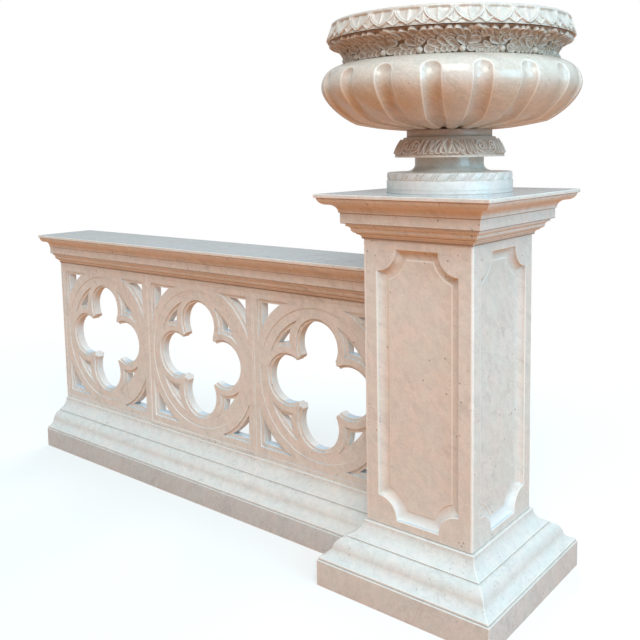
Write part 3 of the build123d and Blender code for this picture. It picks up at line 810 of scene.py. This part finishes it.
# the leaf that lies between two beads, the long one beyond them, the pair that stands and curls over it, and
# the two that hang under the rim: root, tip, bow, lobes and end
NECK_LEAVES = (
    ((228, 12), (138, 12), -3,
     ((0.08, 1, 50, 19, 17), (0.27, 1, 54, 20, 18), (0.46, 1, 55, 20, 18), (0.66, 1, 52, 19, 18),
      (0.34, -1, 34, 26, 18)),
     (24, 21, 0)),
    ((110, 16), (26, 13), -6,
     ((0.10, -1, 40, 36, 24), (0.36, -1, 46, 38, 26), (0.64, -1, 38, 36, 26), (0.06, 1, 56, 18, 16),
      (0.24, 1, 58, 20, 18), (0.43, 1, 60, 20, 19), (0.62, 1, 56, 20, 19)),
     (27, 31, 6)),
    ((122, 50), (68, 63), 4,
     ((0.02, -1, 68, 28, 26), (0.42, -1, 52, 26, 27), (0.40, 1, 30, 30, 20)),
     (30, 23, 0)),
    ((52, 49), (-2, 62), 4,
     ((0.02, -1, 62, 29, 26), (0.42, -1, 50, 27, 27), (0.44, 1, 34, 30, 20)),
     (32, 24, -4)),
    ((229, 13), (200, 64), -5,
     ((0.24, -1, 62, 29, 25), (0.62, -1, 44, 28, 26), (0.30, 1, 52, 30, 24)),
     (31, 29, 30)),
    ((126, 13), (164, 66), 6,
     ((0.16, 1, 64, 33, 25), (0.46, 1, 46, 30, 25), (0.28, -1, 44, 38, 26), (0.62, -1, 34, 30, 22)),
     (36, 36, -30)),
)


def neck_outline(bed):
    """The hollow wall behind the leaves, flaring out under the rim."""
    points = [(330.0, 0.0), (330.0, 10.0), (331.0, 20.0)]
    points += curve_points(points[-1], (333, 46), (352, 62), NECK_FLARE, 12)
    return Outline([*points, NECK_FLARE], bed, 0.7)


def neck_wall_pitch(outline, bed):
    rest = [(BASIN, 71 + bed), (BASIN, bed)]

    # painted shade: the wall behind the leaves, under the rim, is darkened
    def dark(across, along):
        return 0.0, -0.85

    return relief_unit("neck_wall_pitch", outline, 360 / NECK_PITCHES, 1, 18, dark, rest)


def neck_leaf_pitch(outline):
    """Leaves of one pitch, with a round bead at either end of the one that lies between."""
    work = bmesh.new()
    work.verts.layers.float.new("wear_and_shade")
    for at in (0, BEAD_GAP):
        bead(work, outline, at, 11, 10.0, 6)
    for root, tip, bow, lobes, end in NECK_LEAVES:
        leaf(work, outline, root, tip, bow, lobes, end)
    return eased(work, "neck_leaf_pitch", 60)


# ---------------------------------------- collar, rope ring and foot

COLLAR_TURN = -16.0
COLLAR_PITCHES = 72             # plain pitches of its wall
COLLAR_TALL = 63.0
LEAF_RADIUS = 160.0             # of the collar, half-way up its leaves
FALLING_FRONDS = ((50, -4, 50, 17), (67, -2, 50, 18), (84, 4, 50, 18))  # place across, lean, length, width
SPREAD_FRONDS = ((21, 26, 46), (10, 14, 52))
SCROLL_MIDDLE = (23, 38)
SCROLL_RADIUS = 18.0
SCROLL_SHRINK = 0.66            # at each step of its spiral
SCROLL_START = -95              # degrees
SCROLL_STEP = 26
ROPE_STRANDS = 24
ROPE_TURN = 3.0
ROPE_TALL = 24
STRAND_LEAN = 0.8
DRUM_OUTLINE = (
    (0, 0), (202, 0), (203, 1), (203, 10.4), (201.6, 11), (203, 11.6), (203, 38.5), (202.2, 39.6), (201, 40),
    (0, 40))
DISC_OUTLINE = ((0, 0), (136.4, 0), (137, 0.8), (137, 22.2), (136.4, 23), (0, 23))


def collar_outline(bed):
    """The hollow side of the collar, from its thin lip in to the neck disc."""
    points = [(176.0, 0.0), (176.0, 5.0), (172.0, 6.5)]
    points += curve_points((171, 8), (169, 26), (160, 44), (148, 58), 12)
    points.append((147.0, COLLAR_TALL))
    return Outline(points, bed)


def collar_wall_pitch(outline, bed):
    rest = [(0, COLLAR_TALL + bed), (0, bed)]

    # painted shade: the wall behind the leaves is darkened above the lip
    def plain(across, along):
        return 0.0, -0.55 * smoothstep(8, 14, along)

    return relief_unit("collar_wall_pitch", outline, 360 / COLLAR_PITCHES, 1, 20, plain, rest)


def scroll(work, outline, hand):
    """A spiral that opens upwards, with its tail running down to the lip beside the middle."""
    centre = Vector((hand * SCROLL_MIDDLE[0], SCROLL_MIDDLE[1]))
    path = [(hand * 4, 14), (hand * 10, 15)]
    for step in range(22):
        turn = radians(SCROLL_START + step * SCROLL_STEP)
        radius = SCROLL_RADIUS - SCROLL_SHRINK * step
        path.append((centre.x + hand * radius * cos(turn), centre.y + 1.15 * radius * sin(turn)))
    ridge(work, outline, path, 5.0, 6.0)
    bead(work, outline, centre.x, centre.y, 3.6, 2.5)


def collar_leaf_pitch(outline):
    """A quarter of the collar: a pair of scrolls, fronds that fall beside them and a broad leaf between."""
    work = bmesh.new()
    work.verts.layers.float.new("wear_and_shade")
    quarter = LEAF_RADIUS * pi / 4
    for hand in (-1, 1):
        scroll(work, outline, hand)
        petal(work, outline, hand * 9, 58, -90 - hand * 2, 34, 15, lift=3, curl=2, sunk=3, waist=0.8)
        for x, lean, long, wide in FALLING_FRONDS:
            petal(
                work, outline, hand * x, 9 + long, -90 + hand * lean, long, wide, lift=4.5, curl=4, sunk=4.5,
                waist=0.75)
        for x, lean, long in SPREAD_FRONDS:
            petal(
                work, outline, hand * (quarter - x), 60, -90 - hand * lean, long, 22, lift=5, curl=4, sunk=4,
                waist=0.5)
        petal(work, outline, hand * quarter, 62, -90, 55, 34, lift=7, curl=4, sunk=4, waist=0.5)
    return eased(work, "collar_leaf_pitch", 60)


def rope_relief(across, along):
    """Wide flat strands parted by a pair of slanting ribs."""
    slant = across - (along - ROPE_TALL / 2) * STRAND_LEAN
    swell = sqrt(max(1 - ((along - 12.5) / 13.2) ** 2, 0))
    groove = sum(exp(-((slant - at) / 3.0) ** 2) for at in (-9.0, 0.0, 9.0))
    rib = sum(exp(-((slant - at) / 2.6) ** 2) for at in (-4.5, 4.5))
    proud = -6.2 * (1 - swell) - 5.6 * min(groove, 1) * swell - 1.6 * smoothstep(9, 13, abs(slant)) * swell
    # painted highlight on the ribs, painted shade in the grooves
    return proud, rib * swell - 0.35 * groove


def urn_pieces():
    levels = {name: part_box("urn_" + name)[0].z / MM for name in (
        "foot_drum", "rope_ring", "stem", "leaf_collar", "neck_disc", "bowl", "leaf_neck", "rim")}
    turned_stone("urn_drum", DRUM_OUTLINE, levels["foot_drum"], foot_white, "marble", "urn_foot_drum")

    bed = levels["rope_ring"]
    side = Outline([(203, 0), (203, ROPE_TALL / 2), (203, ROPE_TALL)], bed)
    rest = [(194, ROPE_TALL + bed), (192, ROPE_TALL + bed), (0, ROPE_TALL + bed), (0, bed)]
    strand = relief_unit("rope_strand", side, 360 / ROPE_STRANDS, 40, 14, rope_relief, rest)
    ring_of("urn_rope", strand, ROPE_STRANDS, ROPE_TURN, foot_white, "carved_marble", "urn_rope_ring")

    stem = [(0, 0), (144, 0), (144, 1.2)]
    stem += curve_points(stem[-1], (122, 4), (111, 12), (110.5, 26), 12)
    stem += [(111, 47), (110, 48), (0, 48)]
    turned_stone("urn_stem_turned", stem, levels["stem"], glossy, "marble", "urn_stem")

    collar = collar_outline(levels["leaf_collar"])
    wall = collar_wall_pitch(collar, levels["leaf_collar"])
    ring_of("urn_collar", wall, COLLAR_PITCHES, 0, carved, "carved_marble", "urn_leaf_collar")
    ring_of("urn_collar_leaves", collar_leaf_pitch(collar), 4, COLLAR_TURN, carved, "carved_marble")
    # painted shade: the disc under the bowl takes the shaded marble and is darkened further
    turned_stone("urn_disc", DISC_OUTLINE, levels["neck_disc"], shade_painted, "marble", "urn_neck_disc", wear=-0.35)

    ring_of("urn_fluted_bowl", fluted_pitch(levels["bowl"]), FLUTES, FLUTE_TURN, glossy, "marble", "urn_bowl")
    neck = neck_outline(levels["leaf_neck"])
    wall = neck_wall_pitch(neck, levels["leaf_neck"])
    ring_of("urn_neck", wall, NECK_PITCHES, 0, shade_painted, "carved_marble", "urn_leaf_neck")
    ring_of("urn_neck_leaves", neck_leaf_pitch(neck), LEAF_UNITS, LEAF_TURN, shade_painted, "carved_marble")

    bed = levels["rim"]
    rest = [(286, 58 + bed), (BASIN, 57 + bed), (BASIN, bed)]
    heart = relief_unit("heart_pitch", Outline(RIM_SIDE, bed), 360 / HEARTS, 48, 36, heart_relief, rest)
    ring_of("urn_heart_rim", heart, HEARTS, HEART_TURN, rim_white, "carved_marble", "urn_rim")


# ---------------------------------------- dressed stones

LEVEL_WITHIN = 0.4              # degrees: faces this close to one plane are one face
SHARP_OVER = 24                 # degrees: edges sharper than this are eased
LIT_PALE_WITHIN = 0.4                # a pierced stone's faces that look less than this forward or back are its cut sides: paler stone, also painted pale and cool as painted light
BED_FILLET = 5.2 * MM           # height of the fillet over a joint, painted dark as the shadow under the bed mould


def flattened(made):
    """Keeps broad faces flat where they meet a narrow eased edge."""
    modifier = made.modifiers.new("flat", "WEIGHTED_NORMAL")
    modifier.keep_sharp = True
    graph = bpy.context.evaluated_depsgraph_get()
    mesh = bpy.data.meshes.new_from_object(made.evaluated_get(graph))
    name = made.name
    made.modifiers.remove(modifier)
    bpy.data.objects.remove(made)
    mesh.name = name
    return mesh


def dressed(node, arris, finish, joint_shade):
    """A stone of the frame with its sharp edges eased: lighter where they stand out, rubbed and painted
    highlight; darker where they turn in, as painted shade; and dark at the joint where it beds on the one
    below."""
    pierced = node.startswith("tracery")
    work = bmesh.new()
    work.from_mesh(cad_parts[node].data)
    bmesh.ops.remove_doubles(work, verts=work.verts, dist=0.01 * MM)
    bmesh.ops.dissolve_limit(work, angle_limit=radians(LEVEL_WITHIN), verts=work.verts, edges=work.edges)
    wear_and_shade = work.faces.layers.float.new("wear_and_shade")
    lit_pale = work.faces.layers.float.new("lit_pale")
    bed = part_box(node)[0].z
    sharp = [edge for edge in work.edges if edge.is_manifold and edge.calc_face_angle() > radians(SHARP_OVER)
             and (edge.is_convex or not pierced)]
    eased_faces = bmesh.ops.bevel(
        work, geom=sharp, offset=arris, offset_type="OFFSET", segments=2, profile=0.6,
        affect="EDGES", clamp_overlap=True)["faces"]
    work.normal_update()
    for face in work.faces:
        # painted light: the cut sides of a pierced stone are painted pale and cool, as well as being paler
        # stone
        if pierced and abs(face.normal.y) < LIT_PALE_WITHIN:
            face[lit_pale] = 1.0
        # painted shadow: the lowest fillet of a bed mould, under its overhang, is darkened
        if node.endswith("bed") and max(vert.co.z for vert in face.verts) < bed + BED_FILLET:
            face[wear_and_shade] = -0.9
    # painted highlight on eased edges that stand out, painted shade on those that turn in; the bed joint is a
    # dark joint
    for face in eased_faces:
        joint = bed > 0.01 and max(vert.co.z for vert in face.verts) < bed + 1.2 * arris
        stands_out = sum(edge.calc_length() * edge.calc_face_angle_signed(0) for edge in face.edges) > 0
        face[wear_and_shade] = joint_shade if joint else 1.0 if stands_out else 0.9 * joint_shade
    stone = link("dressed_" + node, eased(work, "dressed_" + node, 32))
    return finished("dressed_" + node, flattened(stone), finish, "marble", node)


SHAFT_HALF = 200.0
SHAFT_INNER = 130.0
SHAFT_CORNER = 7.0              # the shaft's upright corners are eased this much
SLAB_END = 2.2                  # and the ends of its slabs this much
SLAB_GRIME = 7.0                # height of the grime over the joint below a slab
PANEL_SIDE = 150.0              # to the panel's edge from its middle
PANEL_END = 29.0
PANEL_NOTCH = 72.0
NOTCH_STEPS = 10
HOLLOW_WIDE = 30.0
HOLLOW_TOP = 4.2
HOLLOW_DEEP = 18.8
SILL_FADE = 40.0                # the painted light in the hollow fades out over this height
# (in from the panel's edge, depth, lighter rubbed edge that also stands for painted highlight): outer arris,
# then beyond the smooth hollow the raised inner arris
PANEL_EDGE = (
    (-4.0, 0.0, 0.0), (-2.8, 0.0, 0.9), (-1.5, 0.3, 1.0), (-0.6, 1.0, 1.0), (0.0, 2.2, 0.9), (0.2, 4.2, 0.2))
PANEL_ARRIS = (
    (30.6, 23.0, 0.0), (31.6, 22.2, 0.3), (32.4, 20.9, 1.0), (33.4, 20.1, 1.0), (35.2, 20.0, 1.0),
    (36.6, 20.0, 0.0))


def panel_ring(half_width, half_height, inset):
    """The panel's outline drawn in by inset: straight sides and a hollow quarter circle at each corner."""
    reach = PANEL_NOTCH + inset
    first, last = acos(inset / reach), asin(inset / reach)
    ring = []
    for sx, sz, turn_back in ((1, 1, False), (-1, 1, True), (-1, -1, False), (1, -1, True)):
        swings = [first + (last - first) * n / NOTCH_STEPS for n in range(NOTCH_STEPS + 1)]
        points = [
            (sx * (half_width - reach * cos(swing)), sz * (half_height - reach * sin(swing)))
            for swing in swings]
        # the first point of a swing lies on the panel's side, the last on its end
        ring += points[::-1] if turn_back else points
    return ring


def panelled_slab(node, turn):
    """A shaft slab with its sunk panel, mitred to its neighbours and turned to its side of the shaft."""
    low, high = (corner.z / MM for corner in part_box(node))
    middle = (low + high) / 2
    work = bmesh.new()
    wear_and_shade = work.verts.layers.float.new("wear_and_shade")
    lit_pale = work.verts.layers.float.new("lit_pale")
    swing = Matrix.Rotation(radians(turn), 3, "Z")

    def put(x, y, z, wear=0.0):
        vert = work.verts.new(swing @ Vector((x, y, z)) * MM)
        vert[wear_and_shade] = wear
        return vert

    def walls(rings):
        for near, far in zip(rings, rings[1:]):
            for (a, far_a), (b, far_b) in round_pairs(list(zip(near, far))):
                work.faces.new((a, b, far_b, far_a))

    bends = [pi / 2 * n / 10 for n in range(1, 11)]
    hollow = [(HOLLOW_WIDE * (1 - cos(bend)), HOLLOW_TOP + HOLLOW_DEEP * sin(bend), 0.0) for bend in bends]
    steps = [*PANEL_EDGE, *hollow, *PANEL_ARRIS]
    panel = [
        [put(x, -SHAFT_HALF + depth, middle + z, wear)
         for x, z in panel_ring(PANEL_SIDE, (high - low) / 2 - PANEL_END, inset)]
        for inset, depth, wear in steps]
    # painted light: the hollow is painted pale and cool where it faces up, at the sill and round the lower
    # ears
    ear_top = low + PANEL_END + PANEL_NOTCH
    for (inset, _, _), ring in zip(steps, panel):
        if 0 < inset <= HOLLOW_WIDE:
            for vert in ring:
                vert[lit_pale] = 0.8 * smoothstep(ear_top, ear_top - SILL_FADE, vert.co.z / MM)
    walls(panel)
    work.faces.new(panel[-1])
    frames = []
    clean = low + SLAB_GRIME
    # the eased corner is lighter, rubbed and painted highlight; the slab's foot is dark at its joint
    for n, wear in ((-1, 0.0), (0, 0.7), (1, 1.0), (2, 1.0), (3, 1.0), (4, 1.0)):
        # the first loop lies on the flat face, the others round the eased edge
        bend = pi / 4 * max(n, 0) / 4
        inward = 1.0 if n < 0 else 0
        x = SHAFT_HALF - SHAFT_CORNER + SHAFT_CORNER * sin(bend) - inward
        y = -SHAFT_HALF + SHAFT_CORNER * (1 - cos(bend))
        rise = SLAB_END * sin(2 * bend) - inward
        top, bottom = high - SLAB_END + rise, low + SLAB_END - rise
        loop = (
            (1, top, wear), (-1, top, wear), (-1, clean, wear), (-1, bottom, -wear), (1, bottom, -wear),
            (1, clean, wear))
        frames.append([put(side * x, y, z, shade) for side, z, shade in loop])
    inner = ((1, high), (-1, high), (-1, clean), (-1, low), (1, low), (1, clean))
    frames.append([put(side * SHAFT_INNER, -SHAFT_INNER, z) for side, z in inner])
    walls(frames)
    work.faces.new(frames[-1])
    rim = [work.edges.get(pair) for loop in (panel[0], frames[0]) for pair in round_pairs(loop)]
    bmesh.ops.triangle_fill(work, use_beauty=True, edges=rim)
    name = node.replace("pier", "panelled")
    stone = link(name, eased(work, name, 40))
    return finished(name, flattened(stone), honed, "marble", node)


ARRIS = 2.4 * MM
FINE_ARRIS = 2.1 * MM
PANELLED = {"pier_shaft_front": 0, "pier_shaft_right": 90, "pier_shaft_back": 180}
# the rail's plinth takes the cooler copy, painted as cool-lit
PLINTHS = {"pier_plinth": grey, "rail_plinth": cool_lit_footing}
DARK_JOINT = -1.0
BASE_JOINT = -0.45
camera()
studio_floor()
studio_light()
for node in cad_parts:
    if not node.startswith("urn") and node not in PANELLED:
        arris = FINE_ARRIS if node.startswith(("tracery", "pier_shaft")) else ARRIS
        base = "base" in node
        dressed(node, arris, PLINTHS.get(node, pale if base else honed), BASE_JOINT if base else DARK_JOINT)
for node, turn in PANELLED.items():
    panelled_slab(node, turn)
urn_pieces()

bpy.context.scene.view_settings.view_transform = "Standard"
